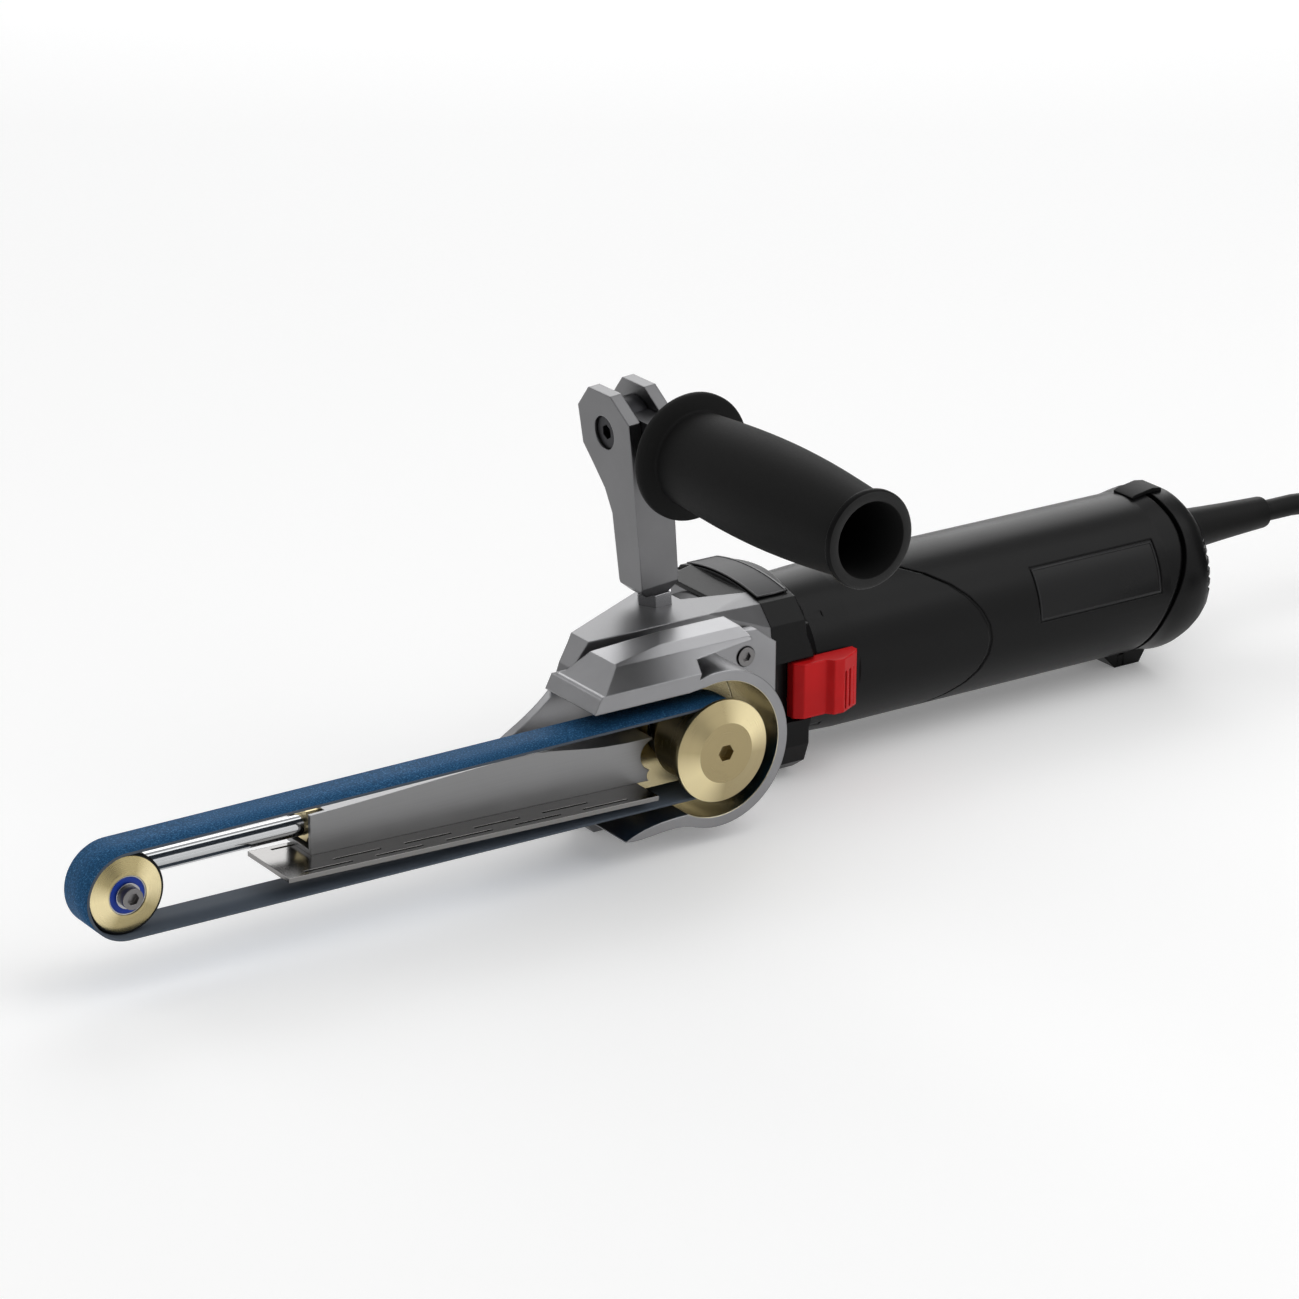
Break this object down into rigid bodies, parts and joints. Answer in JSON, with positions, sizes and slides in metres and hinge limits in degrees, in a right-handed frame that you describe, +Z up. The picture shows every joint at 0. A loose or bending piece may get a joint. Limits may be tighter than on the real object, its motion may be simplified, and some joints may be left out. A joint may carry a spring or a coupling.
{
  "type": "power file",
  "caption": "Narrow belt sander with a silver gear head and guard, a black motor housing and a tilting side handle",
  "frame": {"origin": "middle of the tool's underside, under the centre of its box without the lead", "axes": "+X along the tool from the belt's tip to the lead, +Z up, -Y to the open side of the belt guard"},
  "size_m": [0.7197, 0.1728, 0.1494],
  "materials": {
    "abrasive_cloth": "matte",
    "brass": "brushed",
    "bright_steel": "satin",
    "gear_steel": "satin",
    "black_rubber": "matte",
    "blue_seal": "satin",
    "chrome_rod": "polished",
    "satin_aluminium": "satin",
    "polished_steel": "polished",
    "cast_aluminium": "satin",
    "plaque_metal": "satin",
    "body_plastic": "satin",
    "grip_plastic": "satin",
    "red_plastic": "gloss",
    "cord_rubber": "satin",
    "laminations": "matte",
    "copper_wire": "satin",
    "carbon": "matte"
  },
  "bodies": {
    "tool_body": {"abrasive_belt": "abrasive_cloth", "spindle_bearings": "bright_steel", "tension_spring": "bright_steel", "rod_bush": "brass", "arm": "satin_aluminium", "platen": "polished_steel", "platen_screws": "bright_steel", "arm_screws": "bright_steel", "belt_guard": "cast_aluminium", "guard_screws": "bright_steel", "gear_housing": "cast_aluminium", "bearing_plate": "cast_aluminium", "housing_screws": "bright_steel", "handle_bracket": "cast_aluminium", "bracket_lock_nut": "bright_steel", "handle_pivot_bolt": "bright_steel", "motor_housing": "body_plastic", "top_plaque": "plaque_metal", "switch_module": "body_plastic", "stator_core": "laminations", "field_coils": "copper_wire", "front_bearing": "bright_steel", "rear_bearing": "bright_steel", "brush_holders": "brass", "carbon_brushes": "carbon", "rear_cap": "body_plastic", "cap_clip": "body_plastic", "cap_screws": "bright_steel", "cord_clamp": "body_plastic", "strain_relief": "cord_rubber", "mains_cord": "cord_rubber", "cord_coil": "cord_rubber", "cord_tail": "cord_rubber", "cord_tie": "cord_rubber", "mains_plug": "cord_rubber", "plug_pins": "bright_steel"},
    "spindle": {"drive_drum": "brass", "output_spindle": "bright_steel", "crown_gear": "gear_steel"},
    "rotor": {"armature_shaft": "bright_steel", "armature_core": "laminations", "armature_coils": "copper_wire", "commutator": "copper_wire", "cooling_fan": "body_plastic", "bevel_pinion": "gear_steel"},
    "carriage": {"tension_rod": "chrome_rod", "axle_block": "cast_aluminium", "tip_axle_screw": "bright_steel", "tip_washer": "bright_steel"},
    "tip_wheel": {"tip_wheel_hub": "brass", "tip_wheel_tyre": "black_rubber", "tip_bearings": "blue_seal"},
    "switch": {"switch_button": "red_plastic", "switch_link": "body_plastic"},
    "handle": {"handle_eye": "bright_steel", "handle_grip": "grip_plastic"}
  },
  "joints": [
    {"name": "motor_spin", "type": "hinge", "parent": "tool_body", "child": "rotor", "pos_m": [0.07312, 0.05275, 0.033], "axis": [1, 0, 0], "continuous": true},
    {"name": "spindle_spin", "type": "hinge", "parent": "tool_body", "child": "spindle", "pos_m": [-0.02688, -0.00125, 0.033], "axis": [0, 1, 0], "continuous": true},
    {"name": "tension_slide", "type": "slide", "parent": "tool_body", "child": "carriage", "axis": [1, 0, 0], "range_m": [0, 0.01], "stiffness_N_per_m": 900, "springref_m": -0.012, "deforming": ["tension_spring"]},
    {"name": "tip_spin", "type": "hinge", "parent": "carriage", "child": "tip_wheel", "pos_m": [-0.24562, -0.00125, 0.033], "axis": [0, 1, 0], "continuous": true},
    {"name": "switch_slide", "type": "slide", "parent": "tool_body", "child": "switch", "axis": [-1, 0, 0], "range_m": [0, 0.006]},
    {"name": "handle_pivot", "type": "hinge", "parent": "tool_body", "child": "handle", "pos_m": [-0.02398, 0.05025, 0.1278], "axis": [-0.9969, 0, -0.0785], "range_deg": [0, 180]}
  ],
  "couplings": [
    {"joint": "spindle_spin", "follows": "motor_spin", "ratio": 0.66667},
    {"joint": "tip_spin", "follows": "motor_spin", "ratio": 0.7331}
  ]
}
